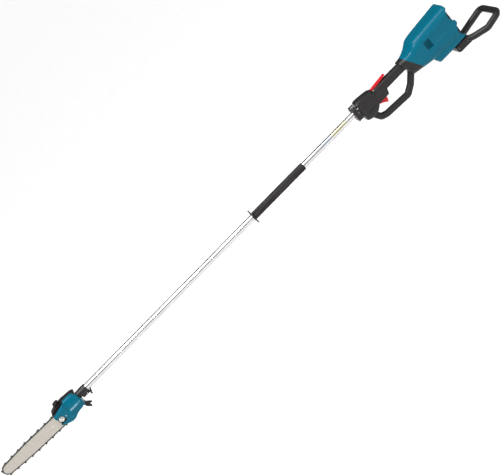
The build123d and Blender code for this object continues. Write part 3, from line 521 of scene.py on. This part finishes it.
def prism(outline, axis, low, high):
    """Closed prism: a 2-D outline drawn in the two other axes, from low to high along axis."""
    points = []
    for level in (low, high):
        for a, b in outline:
            p = [a, b]
            p.insert("xyz".index(axis), level)
            points.append(p)
    count = len(outline)
    faces = [tuple(range(count)), tuple(range(2 * count - 1, count - 1, -1))]
    faces += [(i, (i + 1) % count, count + (i + 1) % count, count + i) for i in range(count)]
    return points, faces


def ring_outline(centre, radius, count=36):
    angles = np.linspace(0.0, 2 * math.pi, count, endpoint=False)
    return [(centre[0] + radius * math.cos(a), centre[1] + radius * math.sin(a)) for a in angles]


def rounded_outline(half_a, half_b, radius, centre):
    """Rounded rectangle as a list of points."""
    steps = 6
    points = []
    for corner, (sa, sb) in enumerate(((1, 1), (-1, 1), (-1, -1), (1, -1))):
        for k in range(steps + 1):
            angle = math.radians(90.0 * corner + 90.0 * k / steps)
            points.append((centre[0] + sa * (half_a - radius) + radius * math.cos(angle),
                           centre[1] + sb * (half_b - radius) + radius * math.sin(angle)))
    return points


# =================================================================================================
# motor housing and nose cover
# =================================================================================================
# section at each x: top, bottom, half width, corner radius
HOUSING = [(NOSE_X - 14, 25, -58, 26, 20), (NOSE_X + 22, 27, -60, 32, 24),
           (NOSE_X + 62, 39, -63, 45, 30), (NOSE_X + 98, 60, -67, 56, 36),
           (NOSE_X + 140, 65, -71, 60, 36), (RIM_X, 77, -72, 62, 32)]
LEDGE_X = NOSE_X + 122
LEDGE = [(LEDGE_X, -30, -70, 40, 16), (NOSE_X + 140, -30, -98, 50, 20), (RIM_X, -30, -92, 56, 20)]
LEDGE_BLEND = 3.0
HOUSING_CENTRE_Z = 0.0
HOUSING_MID_X = RIM_X - 72.0
HOUSING_WALL = 3.0
SEAM_SLOPE = 52.0 / 92.0
NOSE_SLOPE = 26.0 / 86.0
SCALLOP_RADIUS = 38.0
SCALLOP_DEPTH = 17.0
SCALLOP_CENTRES_Z = (33.0, -46.0)
VENT_X, VENT_Z = NOSE_X + 138.0, 8.0
VENT_SLOTS, VENT_PITCH = 5, 6.0
SCREW_SPOTS = [(NOSE_X + 100, -55), (NOSE_X + 104, 48), (NOSE_X + 135, -78), (NOSE_X + 160, 56)]
SCREW_HOLE_RADIUS = 4.2

# rounded rectangles sunk into the side: depth, centre, half size, lean, corner radius, softness
SUNK_PANELS = [(1.3, (RIM_X - 68.0, 8.0), (54.0, 19.0), 0.16, 7.0, 0.9),
               (1.3, (VENT_X, VENT_Z), (17.0, 23.5), 0.0, 3.0, 0.8),
               (0.6, (RIM_X - 46.0, -61.0), (40.0, 7.0), 0.0, 3.0, 0.7)]
RIM_BAND_DEPTH = 0.5


def housing_distance(x, y, z):
    """Distance to the housing's outer face in the section at x, negative inside."""
    top, bottom, half, radius = np.moveaxis(curve_through(HOUSING, x), -1, 0)
    main = box_distance(y, z, top, bottom, half, radius)
    l_top, l_bottom, l_half, l_radius = np.moveaxis(curve_through(LEDGE, x), -1, 0)
    fade = np.clip((LEDGE_X - x) / 4.0, 0.0, 30.0)
    ledge = box_distance(y, z, l_top, l_bottom, l_half, l_radius) + fade
    return smooth_union(main, ledge, LEDGE_BLEND)


def seam_x(z):
    """The slanting seam between the nose cover and the housing."""
    return NOSE_X + 24.0 - SEAM_SLOPE * (np.asarray(z, float) - 31.0)


def nose_front_x(z):
    return NOSE_X - NOSE_SLOPE * (np.asarray(z, float) - 26.0)


def rim_edge_x(z):
    """Rear rim with a round scallop between each two of the three tabs."""
    z = np.asarray(z, float)
    depth = np.zeros_like(z)
    for centre in SCALLOP_CENTRES_Z:
        reach = np.sqrt(np.maximum(SCALLOP_RADIUS ** 2 - (z - centre) ** 2, 0.0))
        depth = np.maximum(depth, reach - (SCALLOP_RADIUS - SCALLOP_DEPTH))
    return RIM_X - 0.05 - depth


def panel_mask(x, z, centre, half, lean, radius, soft):
    """1 inside a leaning rounded rectangle seen from the side, 0 outside."""
    u = x - centre[0] + lean * (z - centre[1])
    v = z - centre[1]
    dx, dz = np.abs(u) - (half[0] - radius), np.abs(v) - (half[1] - radius)
    outside = np.hypot(np.maximum(dx, 0), np.maximum(dz, 0))
    distance = outside + np.minimum(np.maximum(dx, dz), 0) - radius
    return 1.0 - smoothstep(-soft, soft, distance)


def housing_feature(x, y, z):
    """How far the outer face is sunk, in millimetres: the panels on the sides and a band at the rim."""
    side = smoothstep(24.0, 36.0, np.abs(y))
    sunk = sum(depth * panel_mask(x, z, *panel) for depth, *panel in SUNK_PANELS)
    band = smoothstep(RIM_X - 6.5, RIM_X - 5.0, x)
    return side * sunk + RIM_BAND_DEPTH * band


for side, node_name in ((-1, "housing_left"), (1, "housing_right")):
    piece = half_shell("motor_" + node_name, side, housing_distance, HOUSING_CENTRE_Z, seam_x,
                       rim_edge_x, HOUSING_WALL, housing_feature, 150, 170, HOUSING_MID_X,
                       MATERIALS["housing_plastic"], "rear_unit")
    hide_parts(node_name)
    low, high = (-90.0, -20.0) if side < 0 else (20.0, 90.0)
    cutters = []
    for i in range(VENT_SLOTS):
        slot_x = VENT_X + VENT_PITCH * (i - (VENT_SLOTS - 1) / 2)
        cutters.append(prism(rounded_outline(1.7, 20.0, 1.6, (slot_x, VENT_Z)), "y", low, high))
    if side > 0:
        for spot in SCREW_SPOTS:
            cutters.append(prism(ring_outline(spot, SCREW_HOLE_RADIUS, 24), "y", 12.0, 90.0))
    cut(piece, cutters)


def rounded_end(ring, centre, radius):
    """Rings that round off the front end of a closed skin, from its flat face outwards."""
    steps = 4
    made = []
    for k in range(steps):
        angle = math.radians(90.0 * k / steps)
        copy = pulled_in(ring, centre, radius * (1.0 - math.sin(angle)))
        copy[:, 0] += radius * (1.0 - math.cos(angle))
        made.append(copy)
    return made


def closed_skin(name, distance, centre_z, x_front, x_rear, rows, columns, mid_x, round_front,
                material, body):
    """Closed body: the skin with a flat face at each end, the edge of the front one rounded."""
    angles = even_angles(distance, mid_x, centre_z, 0.0, 2 * math.pi, columns + 1)[:-1]
    grid = skin(distance, angles, centre_z, x_front, x_rear, np.linspace(0.0, 1.0, rows))
    front = rounded_end(grid[0], np.array([0.0, centre_z]), round_front)
    middle = [row for row in grid[1:-1] if (row[:, 0] - grid[0][:, 0]).min() > round_front]
    rings = front + middle + [grid[-1]]
    points = np.concatenate(rings, axis=0)
    faces = grid_faces(len(rings), columns)
    first, last = points[:columns].mean(axis=0), points[-columns:].mean(axis=0)
    points = np.concatenate([points, [first, last]], axis=0)
    a, b = len(points) - 2, len(points) - 1
    base = (len(rings) - 1) * columns
    faces += [(a, (j + 1) % columns, j) for j in range(columns)]
    faces += [(b, base + j, base + (j + 1) % columns) for j in range(columns)]
    return make_object(name, points, faces, material, body)


NOSE_INSET = 0.35
NOSE_CENTRE_Z = -14.0
NOSE_OVERLAP = 3.0


def nose_distance(x, y, z):
    return housing_distance(x, y, z) + NOSE_INSET


def nose_rear_x(z):
    return seam_x(z) + NOSE_OVERLAP


nose = closed_skin("motor_nose", nose_distance, NOSE_CENTRE_Z, nose_front_x, nose_rear_x, 24, 160,
                   NOSE_X + 30.0, 4.0, MATERIALS["black_plastic"], "rear_unit")
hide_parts("nose_cover")


# =================================================================================================
# sprocket cover
# =================================================================================================
# corners seen from the side, from the front end of the pole tube
COVER_OUTLINE = [(-172, 23), (-105, 39), (-74, 39), (-57, 36), (-46, 16), (-44, -33),
                 (-62, -36), (-88, -39), (-112, -47.5), (-131, -48), (-152, -40), (-172, -27)]
COVER_CORNER = 5.0
COVER_CENTRE = np.array([HEAD_X - 112.0, -5.0])
COVER_BASE_Y, COVER_TOP_Y = -14.4, -45.9
COVER_OPEN_Y = -38.5
COVER_EDGE = 5.0
COVER_WALL = 2.8
COVER_COLUMNS = 340
STUD = (HEAD_X - 155.0, -7.4)
STUD_HOLE_RADIUS = 4.3
STUD_BOSS_Y = -31.0
TENSION_SCREW = (HEAD_X - 132.0, -8.2)
TENSION_HOLE_RADIUS = 3.6
RECESS_CENTRE = (STUD[0] - 9.5, STUD[1] - 0.75)
RECESS_HALF = (25.0, 14.0)
RECESS_FLOOR_Y = -36.5


def soft_polygon(corners, radius, count):
    """Evenly spaced points along a polygon with rounded corners."""
    corners = np.array(corners, float)
    path = []
    for i, corner in enumerate(corners):
        to_last, to_next = corners[i - 1] - corner, corners[(i + 1) % len(corners)] - corner
        a = to_last / np.linalg.norm(to_last)
        b = to_next / np.linalg.norm(to_next)
        half = math.acos(np.clip(a @ b, -1, 1)) / 2.0
        longest = 0.45 * min(np.linalg.norm(to_last), np.linalg.norm(to_next))
        reach = min(radius / math.tan(half), longest)
        start, end = corner + a * reach, corner + b * reach
        for t in np.linspace(0.0, 1.0, 7):
            path.append((1 - t) ** 2 * start + 2 * t * (1 - t) * corner + t ** 2 * end)
    path = np.array(path + [path[0]])
    along = np.concatenate([[0.0], np.cumsum(np.linalg.norm(np.diff(path, axis=0), axis=1))])
    at = np.linspace(0.0, along[-1], count, endpoint=False)
    return np.stack([np.interp(at, along, path[:, k]) for k in (0, 1)], axis=1)


def cover_height(x, z, edge_distance):
    """Y of the cover's outer face: rounded rim, central ridge, facets above and below it, sunk panel."""
    u = x - HEAD_X
    to_edge = 1.0 - np.clip(edge_distance / COVER_EDGE, 0.0, 1.0)
    round_off = COVER_EDGE * (1.0 - np.sqrt(1.0 - to_edge ** 2))
    rear = smoothstep(-118.0, -100.0, u)
    above = np.maximum(z + 9.0, 0.0)
    below = np.maximum(-13.0 + 0.12 * (u + 100.0) - z, 0.0)
    upper = rear * (0.85 * np.minimum(above, 7.0) + 0.12 * above) + 0.10 * np.maximum(z - 17.0, 0.0)
    lower = (0.16 + 0.22 * rear) * np.minimum(below, 20.0)
    tail = 0.22 * np.maximum(u + 66.0, 0.0)
    panel = 1.7 * panel_mask(u, z, (-141.0, -6.0), (32.0, 23.0), 0.0, 6.0, 0.9)
    return COVER_TOP_Y + round_off + upper + lower + tail + panel


def cover_rings(boundary, shares):
    """X and Z of rings that shrink from the boundary to the cover's centre, one for each share."""
    x = COVER_CENTRE[0] + (boundary[:, 0] - COVER_CENTRE[0])[None, :] * shares[:, None]
    z = COVER_CENTRE[1] + (boundary[:, 1] - COVER_CENTRE[1])[None, :] * shares[:, None]
    return x, z


def edge_distances(x, z, boundary):
    """Distance from each point to the nearest point of the boundary."""
    near = np.full(x.shape, 1e9)
    for px, pz in boundary:
        near = np.minimum(near, np.hypot(x - px, z - pz))
    return near


def inset_boundary(boundary, amount):
    """The boundary moved inwards by amount."""
    ahead, behind = np.roll(boundary, -1, axis=0), np.roll(boundary, 1, axis=0)
    run = (ahead - behind) / np.linalg.norm(ahead - behind, axis=1, keepdims=True)
    return boundary + amount * np.stack([run[:, 1], -run[:, 0]], axis=1)


def upright_wall(boundary, start, end, shares):
    """Rows of points along the boundary whose Y runs from start to end."""
    y = start[None, :] + (end - start)[None, :] * shares[:, None]
    x, z = np.broadcast_to(boundary[:, 0], y.shape), np.broadcast_to(boundary[:, 1], y.shape)
    return np.stack([x, y, z], axis=-1)


def wall_base(boundary):
    """Y where the cover's wall ends: open round the bar at the front, down to the gear case behind."""
    open_from = np.where(boundary[:, 1] > -2.0, -106.0, -130.0) + HEAD_X
    opened = smoothstep(open_from + 3.0, open_from, boundary[:, 0])
    return COVER_BASE_Y + opened * (COVER_OPEN_Y - COVER_BASE_Y)


def build_cover():
    """The hollow cover: outer wall and face, then the inner face and wall back to the start."""
    columns = COVER_COLUMNS
    boundary = soft_polygon([(HEAD_X + x, z) for x, z in COVER_OUTLINE], COVER_CORNER, columns)
    inner_boundary = inset_boundary(boundary, COVER_WALL)
    shares = 1.0 - np.linspace(0.0, 0.995, 84) ** 1.5
    x, z = cover_rings(boundary, shares)
    y = cover_height(x, z, edge_distances(x, z, boundary))
    inner_x, inner_z = cover_rings(inner_boundary, shares)
    inner_y = cover_height(inner_x, inner_z, edge_distances(inner_x, inner_z, boundary)) + COVER_WALL
    boss = panel_mask(inner_x - HEAD_X, inner_z, (-153.0, -7.5), (17.0, 17.0), 0.0, 4.0, 0.8)
    inner_y = inner_y + boss * (STUD_BOSS_Y - inner_y)
    base = wall_base(boundary)
    wall = upright_wall(boundary, base, y[0], np.linspace(0.0, 1.0, 7)[:-1])
    inner_base = np.minimum(base, inner_y[0] + 30.0)
    inner_wall = upright_wall(inner_boundary, inner_y[0], inner_base, np.linspace(0.0, 1.0, 5)[1:])
    outer = np.concatenate([wall, np.stack([x, y, z], axis=-1)])
    inner = np.concatenate([np.stack([inner_x, inner_y, inner_z], axis=-1)[::-1], inner_wall])
    rows = len(outer) + len(inner)
    face_row, inner_row, last = len(outer) - 1, len(outer), (rows - 1) * columns
    faces = grid_faces(len(outer), columns)
    faces += grid_faces(len(inner), columns, offset=inner_row * columns)
    faces += [(j, (j + 1) % columns, last + (j + 1) % columns, last + j) for j in range(columns)]
    points = np.concatenate([outer, inner], axis=0).reshape(-1, 3)
    points = np.concatenate([points, [outer[-1].mean(axis=0), inner[0].mean(axis=0)]])
    a, b = len(points) - 2, len(points) - 1
    first, second = face_row * columns, inner_row * columns
    faces += [(a, first + j, first + (j + 1) % columns) for j in range(columns)]
    faces += [(b, second + (j + 1) % columns, second + j) for j in range(columns)]
    return make_object("head_sprocket_cover", points, faces, MATERIALS["housing_plastic"], "front_section",
                       smooth_angle=32.0)


def paint_recess_shade(piece):
    """Painted shade: the floor and walls of the nut's recess take the black finish, so the recess looks
    shaded.
    """
    piece.data.materials.append(MATERIALS["black_plastic"])
    for face in piece.data.polygons:
        x, y, z = face.center / MM
        across = abs(x - RECESS_CENTRE[0]) < RECESS_HALF[0] + 0.3
        along = abs(z - RECESS_CENTRE[1]) < RECESS_HALF[1] + 0.3
        if across and along and -44.0 < y < RECESS_FLOOR_Y + 0.5:
            # painted shade: faces inside the recess get the black finish
            face.material_index = 1


cover = build_cover()
recess = rounded_outline(*RECESS_HALF, 6.0, RECESS_CENTRE)
cut(cover, [prism(recess, "y", -60.0, RECESS_FLOOR_Y),
            prism(ring_outline(STUD, STUD_HOLE_RADIUS), "y", RECESS_FLOOR_Y - 0.1, -20.0),
            prism(ring_outline(TENSION_SCREW, TENSION_HOLE_RADIUS), "y", -60.0, -20.0)])
# painted shade: the nut's recess is coloured black to stand in for its shade
paint_recess_shade(cover)
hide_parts("sprocket_cover")


# =================================================================================================
# foam grip
# =================================================================================================
FOAM_RADIUS = 16.7
FOAM_ROWS, FOAM_COLUMNS = 150, 72


def uneven_surface(rows, columns):
    """Smoothed noise between -1 and 1, closed round the columns."""
    soft = np.random.default_rng(4).normal(0.0, 1.0, (rows, columns))
    for _ in range(6):
        soft = (np.roll(soft, 1, 1) + np.roll(soft, -1, 1) + soft) / 3.0
        soft[1:-1] = (soft[:-2] + soft[1:-1] + soft[2:]) / 3.0
    return soft / np.abs(soft).max()


def around_pole(x, radius, angle):
    x = np.broadcast_to(x, radius.shape)
    return np.stack([x, radius * np.cos(angle), radius * np.sin(angle)], axis=-1)


def build_foam():
    """Slightly uneven sleeve with rounded ends on the pole tube."""
    x = np.linspace(GRIP_FRONT_X + 0.3, GRIP_END_X, FOAM_ROWS)[:, None]
    angle = np.linspace(0, 2 * math.pi, FOAM_COLUMNS, False)
    rear = 1.0 - smoothstep(0.0, 4.5, GRIP_END_X - x)
    front = 1.0 - smoothstep(0.0, 2.5, x - x[0])
    radius = FOAM_RADIUS + 0.3 * uneven_surface(FOAM_ROWS, FOAM_COLUMNS) - 2.2 * rear ** 2 - 0.6 * front
    outer = around_pole(x, radius, angle)
    bore = np.full((1, FOAM_COLUMNS), OUTER_R + 0.02)
    rings = [outer, around_pole(x[-1], bore, angle), around_pole(x[0], bore, angle), outer[:1]]
    grid = np.concatenate(rings, axis=0)
    return make_object("foam_sleeve", grid.reshape(-1, 3), grid_faces(len(grid), FOAM_COLUMNS),
                       MATERIALS["foam"], "rear_unit", smooth_angle=50.0)


foam = build_foam()
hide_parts("foam_grip")


# =================================================================================================
# spring under the power button
# =================================================================================================
SPRING_AT = (HANDLE_X + 56.0, -9.0)
SPRING_Z = (23.5, 30.5)
SPRING_RADIUS, SPRING_WIRE, SPRING_TURNS = 2.2, 0.38, 5


def build_spring():
    """Helical wire with a flat face at each end."""
    steps, around = SPRING_TURNS * 28, 10
    upward = np.array([0.0, 0.0, 1.0])
    height = SPRING_Z[1] - SPRING_Z[0]
    points = []
    for i in range(steps + 1):
        turn = 2 * math.pi * SPRING_TURNS * i / steps
        out = np.array([math.cos(turn), math.sin(turn), 0.0])
        centre = np.array([*SPRING_AT, SPRING_Z[0] + height * i / steps]) + SPRING_RADIUS * out
        for j in range(around):
            angle = 2 * math.pi * j / around
            points.append(centre + SPRING_WIRE * (math.cos(angle) * out + math.sin(angle) * upward))
    faces = grid_faces(steps + 1, around)
    faces += [tuple(range(around)), tuple(steps * around + j for j in reversed(range(around)))]
    return make_object("power_spring", points, faces, MATERIALS["bright_steel"], "rear_unit")


power_spring = build_spring()
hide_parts("power_button_spring")
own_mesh(power_spring)


# =================================================================================================
# floor, light, camera
# =================================================================================================
scene = bpy.context.scene
scene.view_settings.view_transform = "Standard"
FLOOR_Z = -1.2
FLOOR_SIZE = 80.0

# brightness of the studio walls from straight down (0) over the horizon (0.5) to straight up (1)
SKY = [(0.0, 0.9), (0.45, 0.7), (0.50, 0.04), (0.55, 0.07), (0.62, 0.65), (1.0, 0.95)]

# the walls dim to BACK_WALL as the Y of their direction goes from the first value to the second
BACK_WALL = 0.10
BACK_WALL_FADE = (-0.50, 0.05)

# place, target, size in metres and power in watts
AREA_LIGHTS = {
    "key": ((-1.6, -1.9, 3.2), (-0.4, 0.0, 0.0), (2.2, 0.15), 105.0),
    "fill": ((1.8, -3.6, 0.9), (-0.2, 0.0, 0.0), (0.8, 0.8), 9.0),
}
CEILING_STRENGTH = 2.3
CEILING_ANGLE = math.radians(32.0)
CEILING_TILT = (math.radians(8.0), math.radians(-6.0), 0.0)

CAMERA_ELEVATION = math.radians(24.5)
CAMERA_ROLL = math.radians(45.487)
CAMERA_DISTANCE = 4.3
VIEW_WIDTH = 2.025
VIEW_CENTRE_X = -0.505
VIEW_CENTRE_DROP = 0.051
SENSOR_WIDTH = 36.0


def build_floor():
    bpy.ops.mesh.primitive_plane_add(size=FLOOR_SIZE, location=(0.0, 10.0, FLOOR_Z))
    floor = bpy.context.object
    floor.name = "floor"
    nodes = Nodes("floor")
    shades = [(0.3, (0.925, 0.925, 0.925)), (0.7, (0.95, 0.95, 0.95))]
    nodes.link(nodes.ramp(nodes.noise(6.0, 3.0), shades), nodes.shader.inputs["Base Color"])
    nodes.shader.inputs["Roughness"].default_value = 0.95
    dress(floor, nodes.material)


def build_walls():
    """Studio walls all round: a gradient by height, dimmed towards the back."""
    world = bpy.data.worlds.new("studio")
    scene.world = world
    world.use_nodes = True
    tree = world.node_tree
    direction = tree.nodes.new("ShaderNodeTexCoord")
    axes = tree.nodes.new("ShaderNodeSeparateXYZ")
    tree.links.new(direction.outputs["Generated"], axes.inputs[0])

    upward = tree.nodes.new("ShaderNodeMapRange")
    upward.inputs["From Min"].default_value = -1.0
    tree.links.new(axes.outputs["Z"], upward.inputs["Value"])
    gradient = tree.nodes.new("ShaderNodeValToRGB")
    tree.links.new(upward.outputs["Result"], gradient.inputs["Fac"])
    while len(gradient.color_ramp.elements) < len(SKY):
        gradient.color_ramp.elements.new(0.5)
    for element, (share, level) in zip(gradient.color_ramp.elements, SKY):
        element.position = share
        element.color = (level, level, level, 1.0)

    backward = tree.nodes.new("ShaderNodeMapRange")
    backward.interpolation_type = "SMOOTHSTEP"
    backward.inputs["From Min"].default_value = BACK_WALL_FADE[0]
    backward.inputs["From Max"].default_value = BACK_WALL_FADE[1]
    backward.inputs["To Min"].default_value = 1.0
    backward.inputs["To Max"].default_value = BACK_WALL
    tree.links.new(axes.outputs["Y"], backward.inputs["Value"])

    dimmed = tree.nodes.new("ShaderNodeVectorMath")
    dimmed.operation = "SCALE"
    tree.links.new(gradient.outputs["Color"], dimmed.inputs[0])
    tree.links.new(backward.outputs["Result"], dimmed.inputs["Scale"])
    tree.links.new(dimmed.outputs["Vector"], tree.nodes["Background"].inputs["Color"])


def area_light(name, place, target, size, power):
    data = bpy.data.lights.new(name, "AREA")
    data.shape = "RECTANGLE"
    data.size, data.size_y = size
    data.energy = power
    light = bpy.data.objects.new(name, data)
    scene.collection.objects.link(light)
    light.location = place
    light.rotation_euler = (Vector(target) - Vector(place)).to_track_quat("-Z", "Y").to_euler()


def ceiling_light():
    """Broad soft light from almost straight above."""
    data = bpy.data.lights.new("ceiling", "SUN")
    data.energy = CEILING_STRENGTH
    data.angle = CEILING_ANGLE
    light = bpy.data.objects.new("ceiling", data)
    scene.collection.objects.link(light)
    light.rotation_euler = CEILING_TILT


def build_camera():
    """Camera above the near side, rolled so that the pole rises from lower left to upper right."""
    along_x = Vector((1.0, 0.0, 0.0))
    view_up = Vector((0.0, math.sin(CAMERA_ELEVATION), math.cos(CAMERA_ELEVATION)))
    look = Vector((0.0, math.cos(CAMERA_ELEVATION), -math.sin(CAMERA_ELEVATION)))
    target = Vector((VIEW_CENTRE_X, 0.0, 0.0)) - VIEW_CENTRE_DROP * view_up
    right = math.cos(CAMERA_ROLL) * along_x - math.sin(CAMERA_ROLL) * view_up
    up = math.sin(CAMERA_ROLL) * along_x + math.cos(CAMERA_ROLL) * view_up
    data = bpy.data.cameras.new("camera")
    data.sensor_width = SENSOR_WIDTH
    data.lens = SENSOR_WIDTH * CAMERA_DISTANCE / VIEW_WIDTH
    camera = bpy.data.objects.new("camera", data)
    scene.collection.objects.link(camera)
    turn = Matrix((right, up, -look)).transposed().to_4x4()
    camera.matrix_world = Matrix.Translation(target - CAMERA_DISTANCE * look) @ turn
    scene.camera = camera


build_floor()
build_walls()
for light_name, settings in AREA_LIGHTS.items():
    area_light(light_name, *settings)
ceiling_light()
build_camera()
